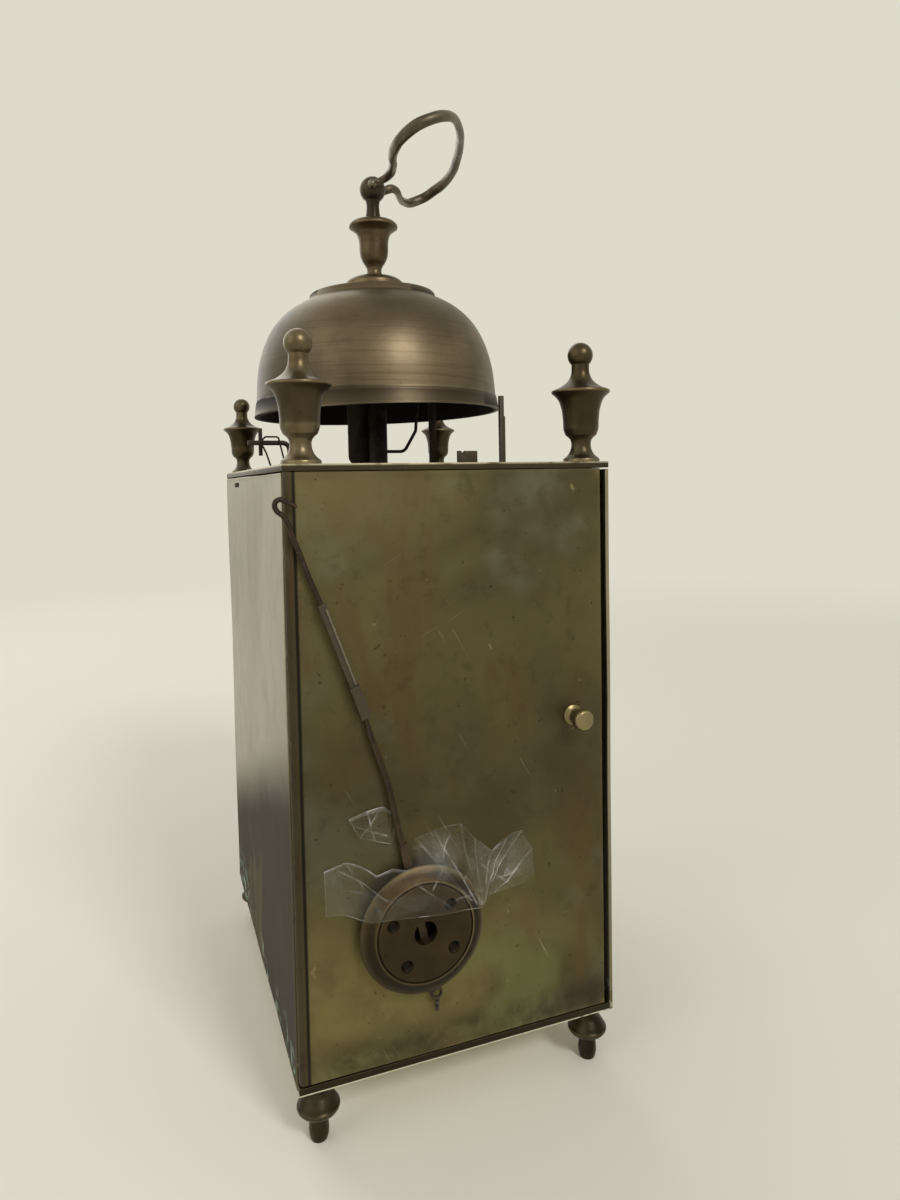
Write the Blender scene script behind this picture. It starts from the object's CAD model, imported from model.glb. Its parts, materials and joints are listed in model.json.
import json
import math

import bmesh
import bpy
from mathutils import Matrix, Vector, noise

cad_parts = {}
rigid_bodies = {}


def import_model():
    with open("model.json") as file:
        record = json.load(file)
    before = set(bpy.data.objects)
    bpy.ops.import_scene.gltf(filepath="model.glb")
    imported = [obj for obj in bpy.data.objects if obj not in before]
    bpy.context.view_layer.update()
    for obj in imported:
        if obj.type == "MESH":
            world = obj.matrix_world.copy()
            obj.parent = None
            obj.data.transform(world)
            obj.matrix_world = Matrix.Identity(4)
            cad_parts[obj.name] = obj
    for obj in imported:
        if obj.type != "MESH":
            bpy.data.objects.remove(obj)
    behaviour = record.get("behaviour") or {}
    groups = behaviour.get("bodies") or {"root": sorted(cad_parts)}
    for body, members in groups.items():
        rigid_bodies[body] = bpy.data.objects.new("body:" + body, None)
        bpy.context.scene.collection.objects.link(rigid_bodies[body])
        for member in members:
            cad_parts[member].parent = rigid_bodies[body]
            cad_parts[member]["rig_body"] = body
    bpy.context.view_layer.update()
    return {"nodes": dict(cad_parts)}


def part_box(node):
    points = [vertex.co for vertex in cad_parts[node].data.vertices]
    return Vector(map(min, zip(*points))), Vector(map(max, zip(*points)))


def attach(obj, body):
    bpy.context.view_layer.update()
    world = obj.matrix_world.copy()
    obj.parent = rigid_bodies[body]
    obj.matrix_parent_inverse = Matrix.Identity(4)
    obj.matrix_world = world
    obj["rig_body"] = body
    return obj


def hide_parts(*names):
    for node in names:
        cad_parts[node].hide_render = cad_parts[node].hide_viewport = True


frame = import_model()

# Lengths are in millimetres until a piece is finished, and then become metres
MM = 0.001


def box(node):
    """The two corners of a node at rest, in millimetres."""
    low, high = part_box(node)
    return low / MM, high / MM


def half_size(node):
    """Half the size of a node along X, Y and Z."""
    low, high = box(node)
    return (high - low) / 2


def middle(node):
    """The middle of a node's box."""
    low, high = box(node)
    return (low + high) / 2


# Levels and places of the case and of what stands on it, read from the frame
base_low = box("base_plate")[0].z
top_low, top_high = box("top_plate")[0].z, box("top_plate")[1].z
case_half_width = half_size("front_plate").x
dial_side = box("front_plate")[0].y
door_side = box("top_plate")[1].y
rim_height = box("bell")[0].z
bell_height = half_size("bell").z * 2
bell_radius = half_size("bell").x
bell_at = middle("bell")
bob_at = middle("pendulum_bob")
dial_middle = middle("dial_bezel")
dial_face = box("dial")[0].y

# Sizes of the case, the bell and the nut on it
sheet = 1.2
hinge_barrel = 1.25
hinge_line = box("back_door")[1].x - hinge_barrel
bell_wall = 2.0
bell_crown = 2.7
bell_wave = 0.22
bell_lean = math.radians(1.4)
bell_lean_axis = Vector((0.3575, 0.9325, 0))
bell_lean_level = 10.0
urn_ball_radius = 5.1

# The hinge's worn nicks, the knob, and the side panel's slot and lip
hinge_steps = 120
nick_depth = 0.28
knob_radius = 3.4
slot_start, slot_length = 31.0, 14.5
slot_low, slot_high = 3.8, 2.0
lip_reach, lip_half_length = 5.8, 64.5
lip_low, lip_high = 2.4, 3.6

# The handle: how long it is, half of its width, how it leans and turns, its bar and its two pegs
handle_length = 38.7
handle_half_width = 42.5
handle_lean = math.radians(26.0)
handle_turn = math.radians(16.7)
bar_end_radius = 1.25
bar_half_width = 1.45
bar_half_thickness = 2.1
bar_taper_share = 0.2
eye_radius = 1.7
peg_radius = 1.0
peg_length = 5.0
forging_wave = 0.16

# The pendulum on the door: the plane of its irons, and the bob's face and holes
pendulum_plane = 76.65
lath_width, lath_thickness = 2.3, 0.9
sleeve_width, sleeve_thickness = 2.9, 1.4
strip_width, strip_half_thickness = 2.4, 0.55
bob_face_radius = 15.5
bob_hole_circle = 10.8
bob_hole_angles = (22.0, 138.0, 215.0, 304.0)
bob_centre_floor = 75.3

# Towards the door side, the bob's place in the irons' plane, and where the torn edge lies on the lath
outward = Vector((0, 1, 0))
bob_in_plane = Vector((bob_at.x, pendulum_plane, bob_at.z))
torn_edge_offset = Vector((-0.62, 0, 0.25))

# The dial: its squares' holes, its rings of marks and its numbers
dial_thickness = 2.0
winding_x, winding_drop = 20.5, 22.0
centre_hole_radius, winding_hole_radius, clear_hole_radius = 3.35, 3.0, 3.6
mark_thickness = 0.06
minute_ring, hour_ring = 41.0, 22.6
fine_rings = (42.2, 39.8, 23.3, 22.0)
fine_ring_half_width = 0.12
hour_letters = ("I", "II", "III", "IIII", "V", "VI", "VII", "VIII", "IX", "X", "XI", "XII")
numeral_height, numeral_circle = 10.5, 31.4
alarm_number_size, alarm_number_circle, alarm_ring = 3.4, 8.8, 11.4

# The turned pieces' outlines as (radius share, height share). Each list is a smooth stretch, which
# starts where the one before it ends
finial_shares = [
    [(0.62, 0.0), (0.62, 0.025)],
    [(0.44, 0.065), (0.34, 0.125), (0.36, 0.185), (0.42, 0.205)],
    [(0.52, 0.225)],
    [(0.585, 0.265), (0.61, 0.35), (0.66, 0.45), (0.78, 0.53), (1.0, 0.583)],
    [(0.985, 0.6)],
    [(0.66, 0.635), (0.42, 0.685), (0.31, 0.75), (0.3, 0.79)],
    [(0.3, 0.815)],
]
ball_share = 0.432
foot_shares = [
    [(0.0, 0.0), (0.38, 0.0)],
    [(0.42, 0.04), (0.42, 0.43)],
    [(0.62, 0.45), (0.88, 0.49), (1.0, 0.545)],
    [(1.0, 0.59)],
    [(0.93, 0.61)],
    [(0.86, 0.66), (0.72, 0.74)],
    [(0.62, 0.8), (0.6, 0.87), (0.68, 0.95)],
    [(0.68, 1.0)],
    [(0.0, 1.0)],
]
bell_outer_shares = [
    [(1.0, 0.0), (0.998, 0.015)],
    [(0.983, 0.105)],
    [(0.976, 0.118)],
    [(0.972, 0.183), (0.963, 0.29), (0.936, 0.425), (0.893, 0.547), (0.826, 0.666), (0.708, 0.785),
     (0.6, 0.85), (0.525, 0.885)],
    [(0.51, 0.935)],
    [(0.4, 0.955), (0.3, 0.975), (0.235, 1.0)],
    [(0.06, 1.0)],
]
bell_inner_shares = [
    [(1.0, 0.0), (0.985, 0.175), (0.94, 0.4175), (0.835, 0.657), (0.645, 0.84), (0.42, 0.935),
     (0.235, 1.0)],
    [(0.06, 1.0)],
]
urn_shares = [
    [(0.0, 0.0), (0.9, 0.0)],
    [(0.9, 0.012)],
    [(0.6, 0.024), (0.38, 0.032)],
    [(0.33, 0.06), (0.3, 0.095), (0.31, 0.125), (0.37, 0.16)],
    [(0.48, 0.205), (0.56, 0.26), (0.59, 0.32), (0.6, 0.4), (0.63, 0.46), (0.71, 0.515), (0.85, 0.55),
     (1.0, 0.578)],
    [(1.0, 0.6)],
    [(0.9, 0.63), (0.5, 0.64), (0.35, 0.645)],
    [(0.33, 0.665), (0.3, 0.71), (0.268, 0.78), (0.268, 0.84), (0.3, 0.875)],
]
washer_shares = [
    [(0.0, 0.0), (1.0, 0.0)],
    [(1.0, 0.48)],
    [(0.95, 0.72), (0.85, 1.0)],
    [(0.0, 1.0)],
]
knob_shares = [
    [(0.0, 0.0), (0.97, 0.0)],
    [(0.97, 0.1)],
    [(0.62, 0.2), (0.52, 0.36), (0.66, 0.5), (0.92, 0.6), (1.0, 0.74)],
    [(1.0, 0.88)],
    [(0.84, 1.0)],
    [(0.0, 1.0)],
]

# The handle's two arms as shares of its length and of its half width, from the ball to the bar's middle
upper_arm_shares = [(0.0, 0.16), (0.07, 0.13), (0.147, 0.135), (0.207, 0.21), (0.232, 0.36), (0.224, 0.546),
                    (0.25, 0.716), (0.326, 0.86), (0.449, 0.945), (0.606, 0.94), (0.773, 0.857),
                    (0.875, 0.7), (0.938, 0.5), (0.984, 0.25), (1.0, 0.0)]
lower_arm_shares = [(0.0, 0.16), (0.06, 0.17), (0.125, 0.175), (0.2, 0.19), (0.268, 0.3), (0.31, 0.514),
                    (0.36, 0.72), (0.463, 0.885), (0.607, 0.935), (0.765, 0.885), (0.89, 0.775),
                    (0.97, 0.59), (0.998, 0.34), (1.0, 0.0)]

# The pendulum's pieces as shares of its reach, across and up from the bob's centre
pendulum_reach = 130.9
hook_shares = [(0.2628, 0.9771), (0.2842, 0.9878), (0.2972, 0.9935), (0.3062, 0.9885), (0.3085, 0.9801),
               (0.3041, 0.9694), (0.2918, 0.9587), (0.2811, 0.9412), (0.2735, 0.9175), (0.2574, 0.8739),
               (0.2376, 0.8189), (0.217, 0.7678), (0.2075, 0.7425)]
lath_shares = [(0.2155, 0.765), (0.1975, 0.7125), (0.172, 0.636), (0.1475, 0.576)]
sleeve_shares = [(0.1478, 0.5785), (0.1226, 0.505)]
lower_rod_shares = [(0.1429, 0.5844), (0.118, 0.487), (0.0935, 0.413), (0.0745, 0.355), (0.0565, 0.27),
                    (0.0375, 0.1841)]


class Wire:
    """A value in a tree of nodes. A sum on it adds its Math node."""

    def __init__(self, tree, socket):
        self.tree = tree
        self.socket = socket

    def sum(self, operation, first, second):
        return self.tree.node("Math", {"operation": operation}, {0: first, 1: second})

    def __add__(self, other):
        return self.sum("ADD", self, other)

    def __radd__(self, other):
        return self.sum("ADD", other, self)

    def __sub__(self, other):
        return self.sum("SUBTRACT", self, other)

    def __rsub__(self, other):
        return self.sum("SUBTRACT", other, self)

    def __mul__(self, other):
        return self.sum("MULTIPLY", self, other)

    def __rmul__(self, other):
        return self.sum("MULTIPLY", other, self)

    def __truediv__(self, other):
        return self.sum("DIVIDE", self, other)


class Tree:
    """The nodes of a material or of the world, with one call that adds any node."""

    def __init__(self, holder):
        holder.use_nodes = True
        self.tree = holder.node_tree
        self.tree.nodes.clear()

    def node(self, kind, settings=None, values=None, out=0):
        """Any node: its settings come first, then the values or links of its sockets."""
        made = self.tree.nodes.new("ShaderNode" + kind)
        for key, value in (settings or {}).items():
            setattr(made, key, value)
        for key, value in (values or {}).items():
            if isinstance(value, Wire):
                self.tree.links.new(value.socket, made.inputs[key])
            else:
                made.inputs[key].default_value = value
        return Wire(self, made.outputs[out]) if made.outputs else None

    def step(self, value, low, high):
        """0 below low, 1 above high and smooth between them."""
        return self.node("MapRange", {"interpolation_type": "SMOOTHSTEP"}, {0: value, 1: low, 2: high})


class Finish(Tree):
    """A material, the record's slot that it belongs to, and its colour as it is built up."""

    def __init__(self, name, slot):
        self.material = bpy.data.materials.new(name)
        super().__init__(self.material)
        self.slot = slot
        self.colour = None

    def where(self, stretch=(1, 1, 1), turn=(0, 0, 0)):
        """Object coordinates, drawn out along turned axes."""
        spot = self.node("TexCoord", out="Object")
        return self.node("Mapping", {"vector_type": "TEXTURE"},
                         {"Vector": spot, "Rotation": turn, "Scale": stretch})

    def cloud(self, at, scale, detail=4.0, roughness=0.55, distortion=0.0):
        """Soft noise, about a metre divided by its scale from patch to patch."""
        return self.node("TexNoise", None, {"Vector": at, "Scale": scale, "Detail": detail,
                                            "Roughness": roughness, "Distortion": distortion})

    def base(self, light, dark, share):
        """The metal's own two tones, where share is 0 and where it is 1."""
        self.colour = self.mix(ink(*light), ink(*dark), share)

    def lay(self, tone, share):
        """A tone over the colour so far."""
        self.colour = self.mix(self.colour, ink(*tone), share)

    def mix(self, low, high, share):
        """One colour over another."""
        return self.node("Mix", {"data_type": "RGBA"}, {0: share, 6: low, 7: high}, out=2)

    def level(self, at, axis="Z"):
        """One coordinate of a point, in millimetres."""
        return self.node("SeparateXYZ", None, {0: at}, out=axis) / MM

    def mark(self, name):
        """A value that the piece's points carry. Relief is 0.5 on flat metal, more on edges that hands
        polish and less in corners that hold dirt."""
        return self.node("Attribute", {"attribute_name": name}, out="Fac")

    def patches(self, low, high, at, scale, detail=4.0, roughness=0.55, distortion=0.0):
        """Soft noise cut into patches: 0 where it is below low and 1 where it is above high."""
        return self.step(self.cloud(at, scale, detail, roughness, distortion), low, high)

    def close(self, roughness, metallic, height, depth, **more):
        """The shader, with a bump whose depth is in millimetres."""
        bump = self.node("Bump", None, {"Strength": 1.0, "Distance": depth * MM, "Height": height})
        shader = self.node("BsdfPrincipled", None, {"Base Color": self.colour, "Roughness": roughness,
                                                    "Metallic": metallic, "Normal": bump, **more})
        self.node("OutputMaterial", None, {"Surface": shader})
        return self


def ink(red, green, blue):
    """A colour from the values that a picture shows, 0 to 255."""
    def linear(value):
        value /= 255
        return value / 12.92 if value <= 0.04045 else ((value + 0.055) / 1.055) ** 2.4
    return (linear(red), linear(green), linear(blue), 1.0)


# Finishes
def door_brass():
    """Old mottled sheet with rubbed, greener and browner patches, grime below and fine scratches."""
    f = Finish("door_sheet_brass", "case_brass")
    at = f.where()
    high = f.level(at) / top_high
    across = f.level(at, "X") / case_half_width
    broad = f.cloud(at, 17.0, 3.0, 0.5, 0.6)
    fine = f.cloud(at, 90.0, 5.0, 0.62)
    streaky = f.cloud(f.where((1, 1, 3.2), (0, 0.12, 0)), 60.0, 4.0, 0.6, 0.8)
    f.base((102, 93, 61), (80, 72, 48), f.step(broad, 0.36, 0.66))
    brown_streaks = f.step(streaky, 0.46, 0.7)
    f.lay((92, 74, 45), brown_streaks * 0.7)
    grey_patches = f.patches(0.5, 0.72, at, 34.0, 3.0, 0.5)
    f.lay((106, 106, 84), grey_patches * 0.7)
    small_stains = f.patches(0.5, 0.7, at, 150.0, 5.0, 0.7)
    f.lay((66, 58, 39), small_stains * 0.45)
    low_rub = f.step(high, 0.46, 0.2) * (0.5 + f.step(fine, 0.3, 0.66) * 0.5) * f.step(across, -1.1, 0.3)
    f.lay((136, 124, 78), low_rub * 0.75)
    green = f.step(high, 0.3, 0.2) * f.patches(0.5, 0.62, at, 26.0, 2.0, 0.5)
    f.lay((118, 124, 76), green * 0.5)
    top_rub = f.step(high, 0.84, 0.97) * f.step(across, -0.2, 0.8)
    f.lay((116, 106, 70), top_rub * 0.6)
    middle_dark = f.step(high, 0.32, 0.5) * f.step(high, 0.86, 0.6)
    f.lay((66, 58, 38), middle_dark * 0.4)
    edge = f.step(high, 0.175, 0.13) + f.step(high, 0.972, 0.995) * 0.7
    edge = edge + f.step(f.node("Math", {"operation": "ABSOLUTE"}, {0: across}), 0.9, 0.985) * 0.6
    f.lay((48, 36, 22), edge * f.step(fine, 0.22, 0.66) * 0.8)
    speck = f.patches(0.69, 0.77, at, 420.0, 2.0, 0.5)
    f.lay((42, 33, 22), speck * 0.6)
    rub = f.patches(0.68, 0.8, f.where((0.3, 1, 8), (0, 0.5, 0)), 260.0, 3.0, 0.6)
    rub = rub + f.patches(0.7, 0.8, f.where((0.3, 1, 9), (0, -1.1, 0)), 200.0, 3.0, 0.6)
    rub = rub * f.patches(0.44, 0.64, at, 45.0, 2.0)
    f.lay((160, 152, 114), rub * 0.65)
    fleck = f.patches(0.7, 0.76, f.where((1, 1, 1.6), (0, 0.4, 0)), 240.0, 3.0, 0.6)
    f.lay((150, 140, 100), fleck * 0.5)
    worn = f.step(f.mark("relief"), 0.56, 0.8)
    f.lay((146, 128, 84), worn * 0.55)
    past = f.level(at, "X") - hinge_line
    f.lay((56, 44, 28), f.step(past, -1.3, -0.9) * 0.7)
    gap = f.step(past, -2.4, -1.8) * f.step(past, -0.9, -1.3)
    f.lay((14, 10, 7), gap * 0.92)
    roughness = 0.4 + fine * 0.16 + f.step(broad, 0.4, 0.7) * 0.06 - rub * 0.12 - worn * 0.08
    height = f.cloud(at, 30.0, 2.0) * 0.9 + fine * 0.1 - rub * 0.02 - speck * 0.05
    return f.close(roughness, 0.86 - edge * 0.2, height, 0.35)


def side_brass():
    """Smoother, paler sheet with a dull dark foot and verdigris along the base."""
    f = Finish("side_sheet_brass", "case_brass")
    at = f.where()
    high = f.level(at)
    deep = f.level(at, "Y")
    broad = f.cloud(at, 15.0, 3.0, 0.5, 0.5)
    fine = f.cloud(at, 110.0, 5.0, 0.6)
    drawn = f.cloud(f.where((1, 1, 14)), 420.0, 3.0, 0.6)
    f.base((164, 157, 141), (148, 140, 123), f.step(broad, 0.36, 0.66))
    f.lay((140, 126, 96), f.step(fine, 0.52, 0.78) * 0.4)
    left = f.step(f.level(at, "X"), -1.0, 1.0)
    low_dark = f.step(high - deep * 0.37 + broad * 12.0 + fine * 8.0, 112.0, 84.0) * left
    low_dark = low_dark + f.step(high + broad * 40.0, 130.0, 50.0) * (1 - left) * 0.6
    f.lay((38, 31, 19), low_dark * 0.95)
    f.lay((72, 62, 42), low_dark * f.step(fine, 0.46, 0.7) * 0.35)
    edge = f.step(high, base_low + 12.0, base_low + 4.0) + f.step(high, top_high - 5.0, top_high - 2.0) * 0.6
    edge = edge + f.step(deep, door_side - 3.0, door_side - 0.8) * 0.5
    f.lay((52, 42, 27), edge * 0.6)
    low_corner = f.step(high, base_low + 22.0, base_low + 5.0)
    low_corner = low_corner * f.step(deep, dial_side + 62.0, dial_side + 14.0)
    spotted = f.patches(0.5, 0.62, at, 210.0, 3.0, 0.6)
    low_line = f.step(high, base_low + 16.0, base_low + 3.0) * f.patches(0.5, 0.6, at, 60.0, 2.0)
    green = (low_corner + low_line) * spotted
    f.lay((146, 172, 156), green * 0.9)
    stain = f.patches(0.6, 0.72, f.where((1, 1, 2.5)), 30.0, 4.0, 0.6, 0.6)
    f.lay((112, 98, 68), stain * 0.45)
    speck = f.patches(0.71, 0.78, at, 460.0, 2.0, 0.5)
    f.lay((70, 56, 36), speck * 0.7)
    worn = f.step(f.mark("relief"), 0.56, 0.8)
    f.lay((176, 158, 116), worn * 0.5)
    roughness = 0.27 + fine * 0.14 + low_dark * 0.45 + green * 0.2 + drawn * 0.05 + stain * 0.06
    height = f.cloud(at, 26.0, 2.0) * 0.9 + drawn * 0.02 + green * 0.06 - speck * 0.04
    metal = (0.9 - low_dark * 0.5) * (1 - green * 0.8)
    return f.close(roughness, metal, height, 0.4)


def plate_brass():
    """The top, base and dial plates: dull sheet with brown lower edges and a rubbed upper arris."""
    f = Finish("case_plate_brass", "case_brass")
    at = f.where()
    broad = f.cloud(at, 24.0, 4.0, 0.55, 0.6)
    fine = f.cloud(at, 150.0, 5.0, 0.62)
    f.base((104, 93, 66), (74, 64, 44), f.step(broad, 0.36, 0.66))
    f.lay((60, 44, 28), f.step(fine, 0.5, 0.72) * 0.6)
    green = f.patches(0.6, 0.72, at, 70.0, 4.0, 0.6)
    f.lay((92, 100, 80), green * 0.5)
    relief = f.mark("relief")
    high = f.level(at)
    up_arris = f.step(high, top_high - 0.7, top_high - 0.25)
    worn = f.step(relief, 0.53, 0.66)
    base = f.step(high, base_low + 3.0, base_low + 2.0)
    f.lay((38, 32, 22), base * 0.85)
    f.lay((118, 102, 74), worn * 0.3 * (1 - base))
    low_arris = f.step(high, base_low + 0.5, base_low + 0.3) * f.step(high, base_low - 0.1, base_low + 0.02)
    top_band = f.step(high, top_low - 0.4, top_low) * f.step(high, top_high - 0.25, top_high - 0.6)
    f.lay((52, 45, 31), top_band * 0.75)
    low_arris = low_arris * f.step(fine, 0.28, 0.42)
    f.lay((226, 218, 192), low_arris * 0.9)
    f.lay((184, 174, 146), worn * up_arris * f.step(fine, 0.3, 0.5) * 0.75)
    f.lay((30, 23, 16), f.step(relief, 0.46, 0.3) * 0.8)
    roughness = 0.36 + fine * 0.2 + green * 0.2 - worn * 0.06
    height = broad * 0.7 + fine * 0.15
    return f.close(roughness, 0.85 - green * 0.4 - low_arris * 0.6, height, 0.25)


def turned_brass(name, light, dark, rubbed=(150, 134, 100), seat=0.0, cup=None):
    """Lathe work gone brown: rubbed edges, dirt in the hollows and green at the seats. A cup is darker."""
    f = Finish(name, "turned_brass")
    at = f.where()
    broad = f.cloud(at, 60.0, 3.0, 0.55, 0.4)
    fine = f.cloud(at, 380.0, 4.0, 0.62)
    rings = f.cloud(f.where((12, 12, 1)), 2600.0, 2.0, 0.5)
    f.base(light, dark, f.step(broad, 0.34, 0.68))
    f.lay((70, 54, 32), f.step(fine, 0.5, 0.75) * 0.5)
    high = f.level(at)
    if cup:
        far = f.step(f.level(at, "X"), 10.0, -20.0)
        far = far + f.step(f.level(at, "Y"), 0.0, -30.0) * 0.6
        f.lay((46, 37, 24), far * 0.5)
        low, tall = cup
        in_cup = f.step(high, low, low + 1.5) * f.step(high, tall, tall - 1.5)
        f.lay((58, 47, 30), in_cup * 0.8)
    relief = f.mark("relief")
    hollow = f.step(relief, 0.485, 0.36)
    worn = f.step(relief, 0.54, 0.7)
    f.lay((30, 23, 15), hollow * 0.8)
    f.lay(rubbed, worn * 0.55)
    green = f.patches(0.46, 0.62, at, 150.0, 4.0, 0.62)
    near_seat = f.step(high, top_high + 11.0, top_high + 2.0) * f.step(high, top_low, top_high) * 0.9 + seat
    f.lay((84, 84, 66), green * near_seat * 0.7)
    pit = f.patches(0.69, 0.77, at, 900.0, 2.0, 0.5)
    f.lay((26, 19, 12), pit * 0.6)
    roughness = 0.3 + fine * 0.14 + hollow * 0.2 + green * near_seat * 0.25 - worn * 0.06
    height = rings * 0.12 + fine * 0.2 + broad * 0.5 - pit * 0.12
    return f.close(roughness, 0.9 - hollow * 0.2 - green * near_seat * 0.5, height, 0.12)


def bell_bronze():
    """Cast bell metal turned on the outside, with fine rings, a brown cast and a bright rim."""
    f = Finish("bell_metal", "bell_bronze")
    at = f.where()
    high = (f.level(at) - rim_height) / bell_height
    rings = f.cloud(f.where((60, 60, 1)), 5200.0, 3.0, 0.6)
    wide_rings = f.cloud(f.where((40, 40, 1)), 900.0, 3.0, 0.55)
    broad = f.cloud(at, 22.0, 4.0, 0.55, 0.5)
    fine = f.cloud(at, 210.0, 5.0, 0.6)
    f.base((112, 98, 76), (88, 77, 60), f.step(broad, 0.36, 0.66))
    f.lay((80, 66, 48), f.step(wide_rings, 0.5, 0.68) * 0.4)
    f.lay((140, 124, 98), f.step(rings, 0.58, 0.74) * 0.3)
    f.lay((76, 74, 60), f.step(fine, 0.56, 0.76) * 0.45)
    crown = f.step(high, 0.8, 0.97)
    f.lay((84, 74, 56), crown * 0.6)
    band = f.step(high, 0.125, 0.1)
    f.lay((46, 39, 29), band * 0.92)
    f.lay((40, 32, 22), f.step(high, 0.135, 0.12) * f.step(high, 0.105, 0.118) * 0.6)
    left = f.step(f.level(at, "X") - bell_at.x, 24.0, 44.0)
    f.lay((66, 60, 50), left * 0.7)
    inside = f.mark("inside")
    f.lay((24, 19, 16), inside)
    worn = f.step(f.mark("relief"), 0.545, 0.7) * (1 - inside)
    f.lay((150, 134, 104), worn * (0.6 - band * 0.35))
    hollow = f.step(f.mark("relief"), 0.475, 0.36)
    f.lay((34, 26, 18), hollow * 0.7)
    pit = f.patches(0.7, 0.78, at, 700.0, 2.0, 0.5)
    f.lay((46, 36, 26), pit * 0.5)
    roughness = 0.34 + fine * 0.1 + rings * 0.06 + inside * 0.35 - worn * 0.05
    height = rings * 0.08 + wide_rings * 0.12 + broad * 0.35 - pit * 0.1
    return f.close(roughness, 0.92 - inside * 0.5, height, 0.09)


def handled_bronze(name, light, dark, rubbed, high_dark=None):
    """The handle and the urn: brown with a soft hand polish on the outer bends."""
    f = Finish(name, "turned_brass")
    at = f.where()
    broad = f.cloud(at, 70.0, 4.0, 0.55, 0.5)
    fine = f.cloud(at, 420.0, 4.0, 0.6)
    f.base(light, dark, f.step(broad, 0.34, 0.66))
    f.lay((72, 56, 36), f.step(fine, 0.5, 0.75) * 0.45)
    if high_dark:
        high = f.level(at)
        f.lay((46, 41, 33), f.step(high, high_dark, high_dark + 3.0) * 0.85)
    relief = f.mark("relief")
    f.lay(rubbed, f.step(relief, 0.53, 0.68) * 0.45)
    f.lay((22, 17, 12), f.step(relief, 0.48, 0.36) * 0.8)
    pit = f.patches(0.68, 0.76, at, 1000.0, 2.0, 0.5)
    f.lay((28, 20, 13), pit * 0.6)
    roughness = 0.3 + fine * 0.14 + f.step(broad, 0.4, 0.7) * 0.08
    height = broad * 0.6 + fine * 0.15 - pit * 0.1
    return f.close(roughness, 0.9, height, 0.2)


def bob_brass():
    """The bob: dark brown face and bevel with ochre rubs above and a bright turned ring."""
    f = Finish("bob_metal", "bob_brass")
    at = f.where()
    broad = f.cloud(at, 55.0, 4.0, 0.55, 0.5)
    fine = f.cloud(at, 330.0, 5.0, 0.62)
    across = f.level(at, "X") - bob_at.x
    upper = f.level(at) - bob_at.z
    reach = f.node("Math", {"operation": "SQRT"}, {0: across * across + upper * upper})
    f.base((68, 54, 34), (52, 42, 26), f.step(broad, 0.36, 0.66))
    bevel = f.step(reach, 15.6, 16.4)
    f.lay((40, 31, 19), bevel * 0.85)
    rub = f.step(across * 0.5 + upper * 0.85, 8.0, 18.0) * f.step(fine, 0.38, 0.6)
    f.lay((84, 65, 36), rub * 0.75)
    f.lay((34, 27, 18), f.step(fine, 0.55, 0.75) * 0.5)
    relief = f.mark("relief")
    worn = f.step(relief, 0.54, 0.66)
    right = f.step(across - upper * 0.6, 6.0, -10.0)
    f.lay((140, 124, 90), worn * (0.25 + right * 0.5))
    f.lay((20, 15, 10), f.step(relief, 0.47, 0.36) * 0.8)
    roughness = 0.4 + fine * 0.18 - worn * 0.08
    height = broad * 0.5 + fine * 0.3
    return f.close(roughness, 0.82, height, 0.14)


def old_steel(name, slot, dark, brown, light, rust):
    """Forged steel gone brown-black, with rust specks and rubbed edges."""
    f = Finish(name, slot)
    at = f.where()
    broad = f.cloud(at, 120.0, 4.0, 0.6, 0.4)
    fine = f.cloud(at, 700.0, 5.0, 0.65)
    f.base(dark, brown, f.step(broad, 0.4, 0.64))
    f.lay(rust, f.step(fine, 0.54, 0.7) * 0.6)
    f.lay(light, f.step(f.mark("relief"), 0.55, 0.72) * 0.5)
    roughness = 0.45 + fine * 0.25
    return f.close(roughness, 0.7 - f.step(fine, 0.54, 0.7) * 0.3, broad * 0.5 + fine * 0.4, 0.12)


def wheel_brass():
    """Movement brass: yellow, brushed one way and dull in the old oil."""
    f = Finish("movement_sheet_brass", "movement_brass")
    at = f.where()
    broad = f.cloud(at, 48.0, 3.0, 0.5, 0.4)
    fine = f.cloud(at, 320.0, 5.0, 0.6)
    brushed = f.cloud(f.where((14, 14, 1)), 1500.0, 3.0, 0.6)
    f.base((196, 162, 92), (168, 134, 74), f.step(broad, 0.36, 0.66))
    f.lay((122, 92, 52), f.step(fine, 0.54, 0.78) * 0.5)
    f.lay((208, 180, 116), f.step(brushed, 0.54, 0.74) * 0.3)
    roughness = 0.26 + fine * 0.14 + brushed * 0.05
    return f.close(roughness, 0.95, brushed * 0.2 + broad * 0.4, 0.06)


def dial_enamel():
    """White fired enamel, a little uneven, with fine grey hairlines."""
    f = Finish("dial_white", "dial_enamel")
    at = f.where()
    broad = f.cloud(at, 42.0, 3.0, 0.5)
    cell = f.node("TexVoronoi", {"feature": "DISTANCE_TO_EDGE"},
                  {"Vector": at, "Scale": 38.0, "Randomness": 1.0})
    hairline = f.step(cell, 0.009, 0.002) * f.patches(0.56, 0.7, at, 30.0, 2.0)
    f.base((232, 228, 214), (222, 216, 198), f.step(broad, 0.4, 0.7))
    f.lay((128, 118, 100), hairline * 0.55)
    f.lay((196, 178, 140), f.patches(0.68, 0.76, at, 300.0, 3.0) * 0.4)
    return f.close(0.12 + broad * 0.1, 0.0, broad * 0.6 - hairline * 0.1, 0.08)


def numeral_black():
    """Fired black of the hour numbers and the minute marks."""
    f = Finish("dial_black", "dial_enamel")
    fine = f.cloud(f.where(), 600.0, 4.0, 0.6)
    f.base((26, 24, 24), (52, 48, 46), f.step(fine, 0.5, 0.75))
    return f.close(0.22 + fine * 0.16, 0.0, fine, 0.01)


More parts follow.
